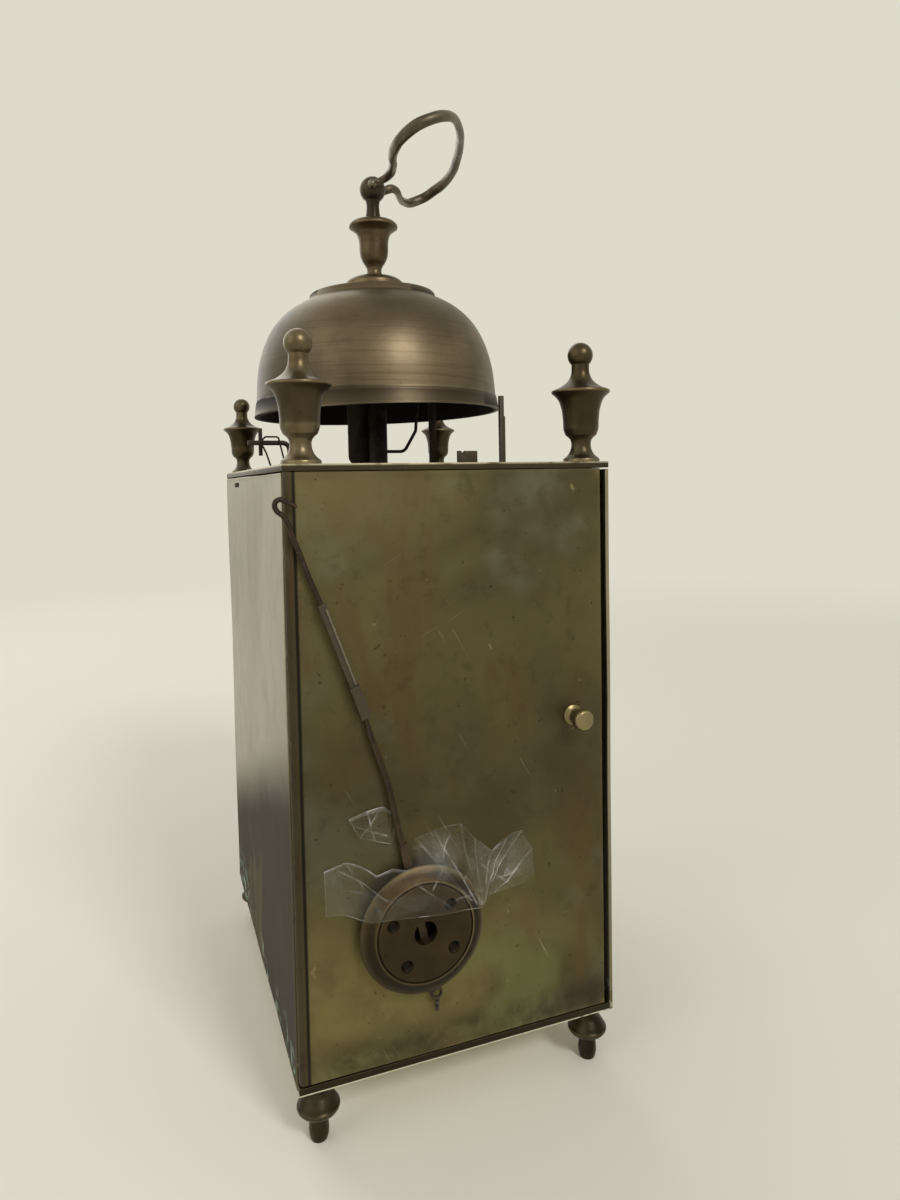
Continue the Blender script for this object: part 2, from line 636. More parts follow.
def blued_steel():
    """Hands heated to a dark blue."""
    f = Finish("blued_hands", "dark_steel")
    at = f.where()
    broad = f.cloud(at, 90.0, 3.0)
    f.base((28, 34, 54), (36, 34, 48), f.step(broad, 0.4, 0.66))
    f.lay((66, 54, 42), f.patches(0.6, 0.74, at, 400.0, 4.0) * 0.5)
    return f.close(0.3 + broad * 0.12, 0.9, broad, 0.05)


def clear_film():
    """Creased clear tape: it shows where it folds, where a facet catches the light and along its rims."""
    f = Finish("clear_crumpled_film", "clear_tape")
    at = f.where()
    crease = f.mark("crease")
    facet = f.mark("facet")
    fine = f.cloud(at, 260.0, 4.0, 0.6)
    haze = f.step(fine, 0.45, 0.75)
    glint = f.patches(0.46, 0.64, at, 150.0, 2.0, 0.5)
    milk = f.mark("milk")
    alpha = 0.01 + crease * (0.1 + glint * 0.55) + facet * (0.02 + haze * 0.03) + milk * (0.07 + haze * 0.1)
    f.base((206, 206, 196), (246, 246, 242), crease)
    return f.close(0.12 + haze * 0.12, 0.0, f.cloud(at, 420.0, 3.0, 0.5), 0.1,
                   Alpha=alpha, IOR=1.5)


# Meshes and objects
def as_mesh(bm, name):
    """The bmesh as a mesh. The bmesh is used up."""
    mesh = bpy.data.meshes.new(name)
    bm.to_mesh(mesh)
    bm.free()
    return mesh


def as_bmesh(mesh):
    """The mesh as a bmesh. The mesh is used up."""
    bm = bmesh.new()
    bm.from_mesh(mesh)
    bpy.data.meshes.remove(mesh)
    return bm


def placed(name, data):
    """A new object in the scene."""
    made = bpy.data.objects.new(name, data)
    bpy.context.scene.collection.objects.link(made)
    return made


def worked_out(thing):
    """The mesh of an object with its modifiers worked into it."""
    return bpy.data.meshes.new_from_object(thing.evaluated_get(bpy.context.evaluated_depsgraph_get()))


def scaled(bm, factor):
    """The bmesh at another scale."""
    bmesh.ops.scale(bm, vec=(factor, factor, factor), verts=bm.verts)
    return bm


def moved(bm, by, turn=None):
    """The bmesh turned and then moved."""
    if turn is not None:
        bmesh.ops.transform(bm, matrix=turn, verts=bm.verts)
    bmesh.ops.translate(bm, vec=Vector(by), verts=bm.verts)
    return bm


def joined(bm, other):
    """Both bmeshes in the first."""
    mesh = as_mesh(other, "part")
    bm.from_mesh(mesh)
    bpy.data.meshes.remove(mesh)
    return bm


def skinned(bm, rows):
    """Faces between rows of points that each go once round."""
    for low, high in zip(rows, rows[1:]):
        for k, point in enumerate(low):
            n = (k + 1) % len(low)
            bm.faces.new((point, low[n], high[n], high[k]))


# Turned and drawn shapes
pole_radius = 1e-4
weld_gap = 0.002
cad_weld_gap = 0.003


def flowing(points, steps):
    """A smooth line through points; two points stay a straight run."""
    points = [Vector(point) for point in points]
    if len(points) == 2:
        return points
    runs = [(b - a).length for a, b in zip(points, points[1:])]
    slopes = [(b - a) / run for a, b, run in zip(points, points[1:], runs)]
    bends = [slopes[0]]
    for before, after, first, second in zip(slopes, slopes[1:], runs, runs[1:]):
        bends.append((before * second + after * first) / (first + second))
    bends.append(slopes[-1])
    line = []
    for index, run in enumerate(runs):
        for step in range(steps):
            t = step / steps
            line.append(points[index] * (1 + t * t * (2 * t - 3)) + points[index + 1] * (t * t * (3 - 2 * t))
                        + bends[index] * run * (t * (1 - t) ** 2)
                        + bends[index + 1] * run * (t * t * (t - 1)))
    return line + [points[-1]]


def eased(line, corner, sharp_turn=0.4, least_run=1e-6):
    """The line with each sharp corner cut back a little."""
    out = [line[0]]
    for before, point, after in zip(line, line[1:], line[2:]):
        first, second = before - point, after - point
        if first.length < least_run or second.length < least_run:
            continue
        if (-first).angle(second) > sharp_turn:
            out.append(point + first.normalized() * min(corner, first.length / 3))
            out.append(point + second.normalized() * min(corner, second.length / 3))
        else:
            out.append(point)
    return out + [line[-1]]


def turned_line(stretches, radius, height, corner=0.15, steps=6):
    """The half outline of a turned piece from its shares, low to high."""
    line = []
    end = []
    for stretch in stretches:
        run = flowing([(r * radius, z * height) for r, z in end + stretch], steps)
        line += run[1:] if line else run
        end = stretch[-1:]
    return eased(line, corner)


def ball_line(radius, height, start_radius, steps=12):
    """The outline of a ball on a neck, from the neck's radius up to its pole."""
    start = -math.acos(min(1, start_radius / radius))
    angles = [start + (math.pi / 2 - start) * step / steps for step in range(steps + 1)]
    return [Vector((radius * math.cos(angle), height + radius * math.sin(angle))) for angle in angles]


def spun(line, segments=72, ring=False):
    """A bmesh turned about Z from (radius, height) points. A ring closes on itself."""
    bm = bmesh.new()
    rows = []
    for radius, height in line:
        if radius < pole_radius:
            rows.append([bm.verts.new((0, 0, height))])
            continue
        angles = [2 * math.pi * k / segments for k in range(segments)]
        rows.append([bm.verts.new((radius * math.cos(a), radius * math.sin(a), height)) for a in angles])
    if not ring:
        for row in (rows[0], rows[-1]):
            if len(row) > 1:
                bm.faces.new(row)
    pairs = list(zip(rows, rows[1:])) + ([(rows[-1], rows[0])] if ring else [])
    for low, high in pairs:
        for k in range(segments):
            n = k + 1
            corners = [low[k % len(low)], low[n % len(low)], high[n % len(high)], high[k % len(high)]]
            corners = list(dict.fromkeys(corners))
            if len(corners) > 2:
                bm.faces.new(corners)
    return bm


def heading(path, index):
    """The direction of a path at one of its points."""
    return (path[min(index + 1, len(path) - 1)] - path[max(index - 1, 0)]).normalized()


def bar_along(path, size_at, normal, sides=16):
    """A closed oval bar along a flat path. size_at gives the half width and half thickness at a share
    of the length, and the thickness stands along the path's plane normal."""
    bm = bmesh.new()
    rows = []
    last = len(path) - 1
    for index, point in enumerate(path):
        side = heading(path, index).cross(normal).normalized()
        width, thickness = size_at(index / last)
        row = []
        for k in range(sides):
            angle = 2 * math.pi * k / sides
            row.append(bm.verts.new(point + side * width * math.cos(angle)
                                    + normal * thickness * math.sin(angle)))
        rows.append(row)
    skinned(bm, rows)
    for row, way, index in ((rows[0], -1, 0), (rows[-1], 1, last)):
        tip = bm.verts.new(path[index] + heading(path, index) * way * min(size_at(index / last)) * 0.5)
        for k in range(sides):
            bm.faces.new((row[k], row[(k + 1) % sides], tip))
    return bm


def sheet_between(low, high, axis, cells, bow, chamfer=0.2):
    """A closed thin sheet whose two faces follow bow(u, v), with eased borders."""
    u, v = [i for i in range(3) if i != axis]
    bm = bmesh.new()

    def stations(a, b, count):
        inner = [a + chamfer + (b - a - 2 * chamfer) * k / count for k in range(count + 1)]
        return [a] + inner + [b]

    us, vs = stations(low[u], high[u], cells[0]), stations(low[v], high[v], cells[1])
    faces = []
    for sign, level in ((1, high[axis]), (-1, low[axis])):
        grid = []
        for i, a in enumerate(us):
            row = []
            for j, b in enumerate(vs):
                border = i in (0, len(us) - 1) or j in (0, len(vs) - 1)
                point = [0, 0, 0]
                point[u], point[v] = a, b
                point[axis] = level + bow(a, b) - (sign * chamfer if border else 0)
                row.append(bm.verts.new(point))
            grid.append(row)
        faces.append(grid)
        for i in range(len(us) - 1):
            for j in range(len(vs) - 1):
                bm.faces.new((grid[i][j], grid[i + 1][j], grid[i + 1][j + 1], grid[i][j + 1]))
    outer, inner = faces
    last_u, last_v = len(us) - 1, len(vs) - 1
    loop = [(i, 0) for i in range(last_u)] + [(last_u, j) for j in range(last_v)]
    loop += [(i, last_v) for i in range(last_u, 0, -1)] + [(0, j) for j in range(last_v, 0, -1)]
    for (i, j), (m, n) in zip(loop, loop[1:] + loop[:1]):
        bm.faces.new((outer[i][j], outer[m][n], inner[m][n], inner[i][j]))
    return bm


def mark_relief(mesh):
    """Stores how far each point stands out of, or lies in, the metal around it."""
    count = len(mesh.vertices)
    bend, near = [0.0] * count, [0] * count
    co = [v.co for v in mesh.vertices]
    normals = [v.normal for v in mesh.vertices]
    pairs = [tuple(edge.vertices) for edge in mesh.edges]
    for a, b in pairs:
        run = co[b] - co[a]
        length = max(run.length, 1e-9)
        bend[a] += normals[a].dot(run) / length
        bend[b] -= normals[b].dot(run) / length
        near[a] += 1
        near[b] += 1
    value = [total / max(number, 1) for total, number in zip(bend, near)]
    for _ in range(2):
        total = list(value)
        number = [1] * count
        for a, b in pairs:
            total[a] += value[b]
            total[b] += value[a]
            number[a] += 1
            number[b] += 1
        value = [s / n for s, n in zip(total, number)]
    layer = mesh.attributes.new("relief", "FLOAT", "POINT")
    layer.data.foreach_set("value", [min(1, max(0, 0.5 - bent)) for bent in value])


def finished(bm, name, body, finish, *nodes, turn=None, at=(0, 0, 0), sharp=35, marks=None):
    """Makes the piece from its bmesh: it rides on its body, stands for its nodes and gets its finish."""
    moved(bm, at, turn)
    bmesh.ops.remove_doubles(bm, verts=bm.verts, dist=weld_gap)
    bmesh.ops.recalc_face_normals(bm, faces=bm.faces)
    mesh = as_mesh(scaled(bm, MM), name)
    settled(mesh, name, body, finish, *nodes, sharp=sharp, marks=marks)


def settled(mesh, name, body, finish, *nodes, sharp=35, marks=None):
    """Hands a finished mesh, in metres, to the frame."""
    for polygon in mesh.polygons:
        polygon.use_smooth = True
    mesh.set_sharp_from_angle(angle=math.radians(sharp))
    mark_relief(mesh)
    if marks:
        for label, value_at in marks.items():
            layer = mesh.attributes.new(label, "FLOAT", "POINT")
            layer.data.foreach_set("value", [value_at(v.co / MM) for v in mesh.vertices])
    mesh.materials.clear()
    mesh.materials.append(finish.material)
    piece = placed(name, mesh)
    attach(piece, body)
    if nodes:
        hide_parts(*nodes)


def applied(bm, *modifiers):
    """The bmesh with modifiers worked into it. Each is (kind, settings)."""
    mesh = as_mesh(bm, "work")
    work = placed("work", mesh)
    for kind, settings in modifiers:
        modifier = work.modifiers.new(kind.lower(), kind)
        for key, value in settings.items():
            setattr(modifier, key, value)
    out = as_bmesh(worked_out(work))
    bpy.data.objects.remove(work)
    bpy.data.meshes.remove(mesh)
    return out


def cut_by(bm, cutters):
    """The bmesh less each cutter."""
    for cutter in cutters:
        bmesh.ops.recalc_face_normals(cutter, faces=cutter.faces)
        tool = placed("cutter", as_mesh(cutter, "cutter"))
        bmesh.ops.recalc_face_normals(bm, faces=bm.faces)
        bm = applied(bm, ("BOOLEAN", {"object": tool, "operation": "DIFFERENCE", "solver": "EXACT"}))
        bpy.data.objects.remove(tool)
    return bm


def block(low, high):
    """A plain box between two corners, for cutting."""
    bm = bmesh.new()
    size = Vector(high) - Vector(low)
    bmesh.ops.create_cube(bm, size=1, matrix=Matrix.Translation((Vector(low) + Vector(high)) / 2)
                          @ Matrix.Diagonal((*size, 1)))
    return bm


def softened(node, finish, edge):
    """A copy of a node's own shape with eased edges, which then stands for it."""
    source = frame["nodes"][node]
    bm = bmesh.new()
    bm.from_mesh(source.data)
    scaled(bm, 1 / MM)
    bmesh.ops.remove_doubles(bm, verts=bm.verts, dist=cad_weld_gap)
    bmesh.ops.dissolve_limit(bm, angle_limit=math.radians(1), verts=bm.verts, edges=bm.edges)
    bm = applied(bm, ("BEVEL", {"width": edge, "segments": 2, "limit_method": "ANGLE",
                                "angle_limit": math.radians(32), "use_clamp_overlap": True}))
    finished(bm, node + "_eased", source["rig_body"], finish, node)


# Turned shapes stand along Z: these lay them towards the door side and towards the dial side
along_y = Matrix.Rotation(math.radians(-90), 4, "X")
facing = Matrix.Rotation(math.radians(90), 4, "X")


def turned_work(brass, foot_brass):
    """The four finials and the four feet."""
    for corner in ("front_left", "front_right", "back_left", "back_right"):
        node = f"finial_{corner}"
        centre, half = middle(node), half_size(node)
        height = box(node)[1].z - top_high
        ball = half.x * ball_share
        line = turned_line(finial_shares, half.x, height)
        line = [Vector((0, 0))] + line[:-1] + ball_line(ball, height - ball, line[-1].x)
        finished(spun(line), f"urn_finial_{corner}", "case", brass, node, at=(centre.x, centre.y, top_high))
        node = f"foot_{corner}"
        centre, half = middle(node), half_size(node)
        line = turned_line(foot_shares, half.x, base_low)
        finished(spun(line), f"turned_foot_{corner}", "case", foot_brass, node, at=(centre.x, centre.y, 0))


def bell_work(bronze, urn_bronze):
    """The bell with its thin wall, and the washer and urn nut that hold it."""
    outer = turned_line(bell_outer_shares, bell_radius, bell_height, corner=0.25)
    inner = turned_line(bell_inner_shares, bell_radius - bell_wall, bell_height - bell_crown, corner=0.25)
    bm = spun(outer + list(reversed(inner)), 144, ring=True)
    for vertex in bm.verts:
        wobble = noise.noise(vertex.co * 0.035) * bell_wave
        vertex.co.xy *= 1 + (wobble - bell_wave) / bell_radius

    lean = Matrix.Rotation(bell_lean, 4, bell_lean_axis)
    seat = Matrix.Translation((0, 0, bell_lean_level))
    finished(bm, "bell_shell", "case", bronze, "bell", turn=seat @ lean @ seat.inverted(),
             at=(bell_at.x, bell_at.y, rim_height), marks={"inside": lambda point: bell_inside(point, outer)})

    half = half_size("bell_washer")
    washer = turned_line(washer_shares, half.x, half.z * 2, corner=0.1)
    finished(spun(washer), "bell_seat_washer", "case", urn_bronze, "bell_washer",
             at=(bell_at.x, bell_at.y, box("bell_washer")[0].z))

    low, high = box("bell_finial")
    height = high.z - urn_ball_radius - low.z
    line = turned_line(urn_shares, half_size("bell_finial").x, height)
    line += ball_line(urn_ball_radius, height, line[-1].x)
    finished(spun(line), "urn_nut", "case", urn_bronze, "bell_finial", at=(bell_at.x, bell_at.y, low.z))


def bell_inside(point, outer):
    """1 on the bell's inner wall and 0 outside: the point is set against the outer outline."""
    reach = math.hypot(point.x - bell_at.x, point.y - bell_at.y)
    height = point.z - rim_height
    nearest = min(abs(line.x - reach) + abs(line.y - height) for line in outer)
    return 0.0 if nearest < bell_wall * 0.55 else 1.0


def eased_share(value):
    """0 to 1 with a soft start and end."""
    value = min(1, max(0, value))
    return value * value * (3 - 2 * value)


def handle_work(bronze):
    """The swinging handle, one forged bar with a flat outer bend."""
    axis = Vector((math.sin(handle_turn), math.cos(handle_turn), 0))
    across = Vector((-math.cos(handle_turn), math.sin(handle_turn), 0))
    out = across * math.cos(handle_lean) + Vector((0, 0, 1)) * math.sin(handle_lean)
    normal = out.cross(axis)
    pivot = Vector((bell_at.x, bell_at.y, box("bell_finial")[1].z - urn_ball_radius))
    upper = [(u * handle_length, v * handle_half_width) for u, v in upper_arm_shares]
    lower = [(u * handle_length, -v * handle_half_width) for u, v in reversed(lower_arm_shares[:-1])]
    path = [pivot + out * u + axis * v for u, v in flowing(upper + lower, 6)]
    tip = upper_arm_shares[0][1] * handle_half_width

    def size_at(share):
        grown = eased_share(min(share, 1 - share) / bar_taper_share)
        return (bar_end_radius + (bar_half_width - bar_end_radius) * grown,
                bar_end_radius + (bar_half_thickness - bar_end_radius) * grown)

    bm = bar_along(path, size_at, normal, 24)
    for vertex in bm.verts:
        vertex.co += Vector((1, 1, 1)) * noise.noise(vertex.co * 0.16) * forging_wave
    for side in (1, -1):
        start = pivot + axis * side * tip
        bmesh.ops.create_uvsphere(bm, u_segments=24, v_segments=14, radius=eye_radius,
                                  matrix=Matrix.Translation(start))
        peg = [start - axis * side * peg_length * share for share in (0, 0.5, 1)]
        bm = joined(bm, bar_along(peg, lambda share: (peg_radius, peg_radius), normal, 16))
    finished(bm, "swinging_handle", "handle", bronze, "carrying_handle")


def bowed(depth, seed):
    """How far a sheet stands out of flat at a spot."""
    def bow(a, b):
        return noise.noise(Vector((a * 0.022, b * 0.018, seed))) * depth
    return bow


def door_work(metal):
    """The back door: a leaf that isn't quite flat, and its rolled hinge edge with worn nicks."""
    low, high = box("back_door")
    leaf = sheet_between(Vector((low.x, high.y - sheet, low.z)), Vector((hinge_line - 0.15, high.y, high.z)),
                         axis=1, cells=(60, 90), bow=bowed(0.3, seed=3.1))
    height = high.z - low.z
    line = []
    for step in range(hinge_steps + 1):
        z = height * step / hinge_steps
        nick = nick_depth if noise.noise(Vector((0, 5.5, z * 0.55))) > 0.46 else 0.0
        wave = abs(noise.noise(Vector((z * 0.12, 0, 7)))) * 0.12
        line.append(Vector((hinge_barrel - nick - wave, z)))
    roll = moved(spun(line, 20), (hinge_line, high.y - hinge_barrel, low.z))
    finished(joined(leaf, roll), "door_sheet", "door", metal, "back_door")


def between(first, second, near, far):
    """A plain box between two levels along X, in either order, and two corners in Y and Z."""
    return block((min(first, second), *near), (max(first, second), *far))


def side_work(metal):
    """The two side panels with the lip along their foot. The left one has a slot near its top."""
    for side, sign in (("left", 1), ("right", -1)):
        node = f"side_panel_{side}"
        low, high = box(node)
        outer = high.x if sign > 0 else low.x
        inner = outer - sign * sheet
        panel = sheet_between(Vector((min(outer, inner), low.y, low.z)),
                              Vector((max(outer, inner), high.y, high.z)),
                              axis=0, cells=(70, 90), bow=bowed(0.35, seed=11.0 * sign))
        if side == "left":
            start = low.y + slot_start
            panel = cut_by(panel, [between(inner - 2, outer + 2, (start, high.z - slot_low),
                                           (start + slot_length, high.z - slot_high))])
        lip = between(inner, outer - sign * lip_reach, (-lip_half_length, base_low + lip_low),
                      (lip_half_length, base_low + lip_high))
        finished(joined(panel, lip), f"side_sheet_{side}", "case", metal, node)


def knob_work(brass):
    """The door's turned knob."""
    line = turned_line(knob_shares, knob_radius, box("door_knob")[1].y - door_side, corner=0.25)
    inside = [(0, -2.0), (2.6, -2.0), (2.6, -1.2), (1.3, -1.2), (1.3, -0.05)]
    finished(spun(inside + line[1:], 48), "door_pull_knob", "door", brass, "door_knob", turn=along_y,
             at=(middle("door_knob").x, door_side, middle("door_knob").z))


def on_door(shares):
    """Points in the pendulum's plane from shares of its reach."""
    return [Vector((bob_at.x + x * pendulum_reach, pendulum_plane, bob_at.z + z * pendulum_reach))
            for x, z in shares]


def flat_bar(start, end, width, y0, y1, steps, ragged, seed):
    """A flat iron bar on the door with uneven long edges."""
    bm = bmesh.new()
    run = end - start
    side = Vector((-run.z, 0, run.x)).normalized() * width / 2
    rows = []
    for step in range(steps + 1):
        point = start + run * step / steps
        left = 1 + noise.noise(Vector((step * 0.9, seed, 0))) * ragged
        right = 1 + noise.noise(Vector((step * 0.9, seed, 9))) * ragged
        lift = noise.noise(Vector((step * 0.35, seed, 5))) * 0.12
        row = []
        for reach, level in ((left, y0), (-right, y0), (-right, y1), (left, y1)):
            spot = point + side * reach
            row.append(bm.verts.new((spot.x, level + lift, spot.z)))
        rows.append(row)
    skinned(bm, rows)
    bm.faces.new(rows[0])
    bm.faces.new(rows[-1])
    return bm


def wire_radius(base, swell, waviness, seed):
    """How thick a drawn wire is along its length: a little uneven, and thicker past its first eighth."""
    def size_at(share):
        radius = base + swell * min(1, share * 8) + noise.noise(Vector((share * waviness, seed, 0))) * 0.05
        return radius, radius
    return size_at


def crook_work(wire_iron):
    """The bent hook at the pendulum's top."""
    crook = bar_along(flowing(on_door(hook_shares), 14),
                      wire_radius(0.62, swell=0.14, waviness=30, seed=2), outward, sides=14)
    finished(crook, "pendulum_crook", "door", wire_iron, "pendulum_hook_rod")


def lath_work(iron, pale_iron):
    """The flat lath with its sleeve, and the torn edge of pale solder along it."""
    level = pendulum_plane + 0.78
    along = on_door(lath_shares)
    start, end = along[0], along[-1]
    lath = flat_bar(start, end, lath_width, level, level + lath_thickness, steps=46, ragged=0.3, seed=1.0)
    sleeve = flat_bar(*on_door(sleeve_shares), sleeve_width, level, level + sleeve_thickness,
                      steps=14, ragged=0.14, seed=4.0)
    lath = joined(lath, sleeve)
    finished(lath, "pendulum_flat_iron", "door", iron, "pendulum_lath", sharp=25)
    start, run = start + torn_edge_offset, end - start
    torn = flat_bar(start + run * 0.06, start + run * 0.97, 0.6, level + 0.7, level + 1.25,
                    steps=64, ragged=0.95, seed=7.0)
    finished(torn, "pendulum_torn_edge", "door", pale_iron, sharp=25)


def lower_rod_work(wire_iron, down):
    """The lower rod, which splits in two, and the strip that runs down through the bob."""
    points = on_door(lower_rod_shares)
    line = flowing(points, 16)
    rod = bar_along(line, wire_radius(0.74, swell=0.0, waviness=22, seed=4), outward, sides=14)
    beside = Vector((-down.z, 0, down.x)) * 0.62
    twin = [point + beside * min(1, max(0, (k - 14) / 8)) + outward * 0.25 for k, point in enumerate(line)]
    rod = joined(rod, bar_along(twin[12:], lambda share: (0.5, 0.55), outward, 12))
    strip = flat_bar(points[-1] - down * 2.4, bob_in_plane + down * 20.0, strip_width,
                     pendulum_plane - strip_half_thickness, pendulum_plane + strip_half_thickness,
                     steps=40, ragged=0.05, seed=12.0)
    finished(joined(rod, strip), "pendulum_lower_irons", "door", wire_iron, "pendulum_lower_rod", sharp=40)


def link_work(iron):
    """The twisted wire link under the bob: its loop, its twist and the stub that it hangs on."""
    low, high = box("pendulum_tail")
    hang = Vector(((low.x + high.x) / 2, (low.y + high.y) / 2, high.z))
    drop, swing = high.z - low.z, (high.x - low.x) / 2 - 0.55
    turns = [math.pi * 2 * step / 24 for step in range(25)]
    loop = [hang + Vector((swing * math.sin(turn), 0.25 * math.cos(turn * 2),
                           drop * (0.19 * math.cos(turn) - 0.3))) for turn in turns]
    twist = [hang + Vector((0.35 * math.sin(step * 0.9), 0.35 * math.cos(step * 0.9),
                            -drop * (0.42 + 0.036 * step))) for step in range(16)]
    stub = [hang + Vector((0, 0, 1.4)), hang + Vector((0, 0, 0.2)), hang - Vector((0, 0, drop * 0.14))]
    link = bar_along(loop, lambda share: (0.5, 0.5), outward, 10)
    link = joined(link, bar_along(twist, lambda share: (0.75 - 0.2 * share, 0.5), outward, 10))
    link = joined(link, bar_along(stub, lambda share: (0.95, 0.6), outward, 10))
    finished(link, "pendulum_link", "door", iron, "pendulum_tail")


def bob_work(metal, down):
    """The lens-shaped bob: a turned ring round its flat face, four dimples and a slit centre hole."""
    back = box("pendulum_bob")[0].y
    radius, face, thickness = half_size("pendulum_bob").x, bob_face_radius, half_size("pendulum_bob").y * 2
    edge = thickness * 0.6
    back_and_edge = [(0, 0), (face, 0), (face + 1.2, 0.5), (radius - 0.6, edge - 0.9),
                     (radius - 0.1, edge - 0.45), (radius, edge), (radius - 0.2, edge + 0.35)]
    ring = [(1.4, 0.95), (0.45, 0.5), (0.1, 0.05), (-0.15, 0.0), (-0.35, 0.1), (-0.5, 0.4), (-0.75, 0.4),
            (-0.9, 0.12)]
    flat = thickness - 0.08
    line = back_and_edge + [(face + out, thickness - drop) for out, drop in ring]
    line += [(face - 1.2 - 0.7 * step, flat) for step in range(20)] + [(0, flat)]
    disc = spun(line, 120)

    cutters = []
    for angle in bob_hole_angles:
        turn = math.radians(angle)
        hole = spun([(0, thickness - 1.5), (1.1, thickness - 1.35), (1.9, thickness - 0.4),
                     (2.15, thickness + 1), (0, thickness + 1)], 36)
        cutters.append(moved(hole, (bob_hole_circle * math.cos(turn), -bob_hole_circle * math.sin(turn), 0)))
    floor = bob_centre_floor - back
    cutters.append(spun([(0, floor), (3.6, floor), (3.65, thickness - 0.4), (3.95, thickness + 1),
                         (0, thickness + 1)], 48))
    disc = moved(cut_by(disc, cutters), (bob_at.x, back, bob_at.z), along_y)

    slit = flat_bar(Vector((0, 0, -60)), Vector((0, 0, 60)), 2.6, -0.62, 0.62, steps=1, ragged=0.0, seed=0.0)
    lean = Matrix.Rotation(-math.atan2(down.x, -down.z), 4, "Y")
    disc = cut_by(disc, [moved(slit, bob_in_plane, lean)])
    finished(disc, "bob_disc", "door", metal, "pendulum_bob", sharp=28)


def pendulum_work(wire_iron, iron, pale_iron, bob_metal):
    """The unhooked pendulum on the door: crook, lath with its sleeve, twin lower rod, bob and link."""
    down = (bob_in_plane - on_door(lower_rod_shares)[-1]).normalized()
    crook_work(wire_iron)
    lath_work(iron, pale_iron)
    lower_rod_work(wire_iron, down)
    link_work(iron)
    bob_work(bob_metal, down)


# The tape's two long edges in millimetres across and up the door, from the hinge side
tape_top = [(44.2, 84.4), (37.9, 86.1), (34.0, 84.6), (29.0, 81.1), (24.3, 82.9), (20.0, 82.5), (18.4, 84.6),
            (16.0, 89.5), (10.2, 91.0), (1.6, 92.0), (-2.9, 86.8), (-7.9, 82.4), (-13.1, 85.4), (-19.1, 86.5),
            (-22.6, 80.0), (-23.8, 72.4)]
tape_foot = [(43.9, 70.9), (34.6, 70.1), (22.4, 69.0), (9.8, 67.6), (-2.4, 67.5), (-12.0, 68.2),
             (-21.0, 68.9), (-23.5, 70.2)]
scrap_top = [(36.5, 98.7), (31.0, 100.4), (26.0, 101.0), (21.5, 97.4)]
scrap_foot = [(33.5, 92.6), (30.5, 91.6), (27.0, 90.2), (23.6, 89.0)]


def at_share(points, share):
    """The point at a share of a polyline's length."""
    points = [Vector(point) for point in points]
    runs = [(b - a).length for a, b in zip(points, points[1:])]
    left = share * sum(runs)
    for start, end, run in zip(points, points[1:], runs):
        if left <= run:
            return start.lerp(end, left / run)
        left -= run
    return points[-1]


# Straight folds of the film from one point to another, with their height and their brightness
tape_folds = [((-3.0, 68.5), (-19.1, 86.5), 0.9, 0.8), ((-3.0, 68.5), (-13.1, 85.2), 1.2, 1.0),
              ((-3.4, 68.5), (-7.9, 82.4), 1.0, 0.4), ((-2.6, 68.5), (-2.9, 86.8), 1.3, 0.9),
              ((-2.0, 68.5), (1.6, 92.0), 1.1, 0.4), ((-1.0, 69.0), (10.2, 91.0), 1.0, 0.6),
              ((0.5, 70.0), (16.0, 89.5), 0.8, 0.35), ((-9.5, 68.4), (-22.6, 80.0), 0.9, 0.7),
              ((-16.0, 69.0), (-4.0, 79.0), 0.6, 0.4), ((-12.0, 84.0), (3.0, 77.0), 0.6, 0.4),
              ((5.0, 89.0), (13.0, 76.0), 0.6, 0.5), ((-20.0, 74.0), (6.0, 71.5), 0.5, 0.35),
              ((22.0, 82.0), (8.0, 70.0), 0.35, 0.25), ((40.0, 84.0), (25.0, 74.0), 0.3, 0.3),
              ((37.9, 86.0), (29.0, 72.0), 0.3, 0.25), ((44.0, 78.0), (30.0, 76.5), 0.25, 0.2)]
scrap_folds = [((36.0, 97.0), (25.0, 92.0), 0.4, 0.7), ((31.0, 100.4), (29.0, 91.5), 0.4, 0.8),
               ((26.0, 101.0), (33.0, 93.0), 0.3, 0.6)]
fold_reach = 3.4

# Where the film has stuck and gone milky: the middle of each patch, its half sizes and its strength
milky_patches = [((9.0, 84.0), (9.0, 7.0), 1.0), ((-11.0, 78.0), (14.0, 12.0), 0.7)]
torn_end = 20.0

# The film's thickness, how far it stands off the door, and how far from the bob's middle it comes down
film_thickness = 0.05
film_gap, scrap_gap = 0.35, 0.25
drape_reach, drape_width = 25.5, 8.0

# Where along X the film starts to lie loose, and over what length its folds grow to full height
loose_start, loose_length = 8.0, 14.0


def crumple(x, z, folds):
    """The film's height at a spot, how sharp its fold is and how much its facet catches the light."""
    height = sharp = 0.0
    side = 0
    spot = Vector((x, z))
    for index, (start, end, lift, light) in enumerate(folds):
        start, run = Vector(start), Vector(end) - Vector(start)
        along = max(0.0, min(1.0, (spot - start).dot(run) / run.length_squared))
        away = (spot - start - run * along).length
        near = noise.noise(Vector((x * 0.4, z * 0.4, index)))
        height += lift * max(0.0, 1 - away / fold_reach)
        line = max(0.0, 1 - away / (0.26 + 0.16 * max(0.0, near)))
        sharp = max(sharp, line * light * min(1.0, 0.55 + 0.9 * abs(near)))
        side += index * (1 if run.cross(spot - start) > 0 else 0)
    return height, sharp, max(0.0, noise.noise(Vector((side * 3.1, 0.5, 2.0)))) * 1.6


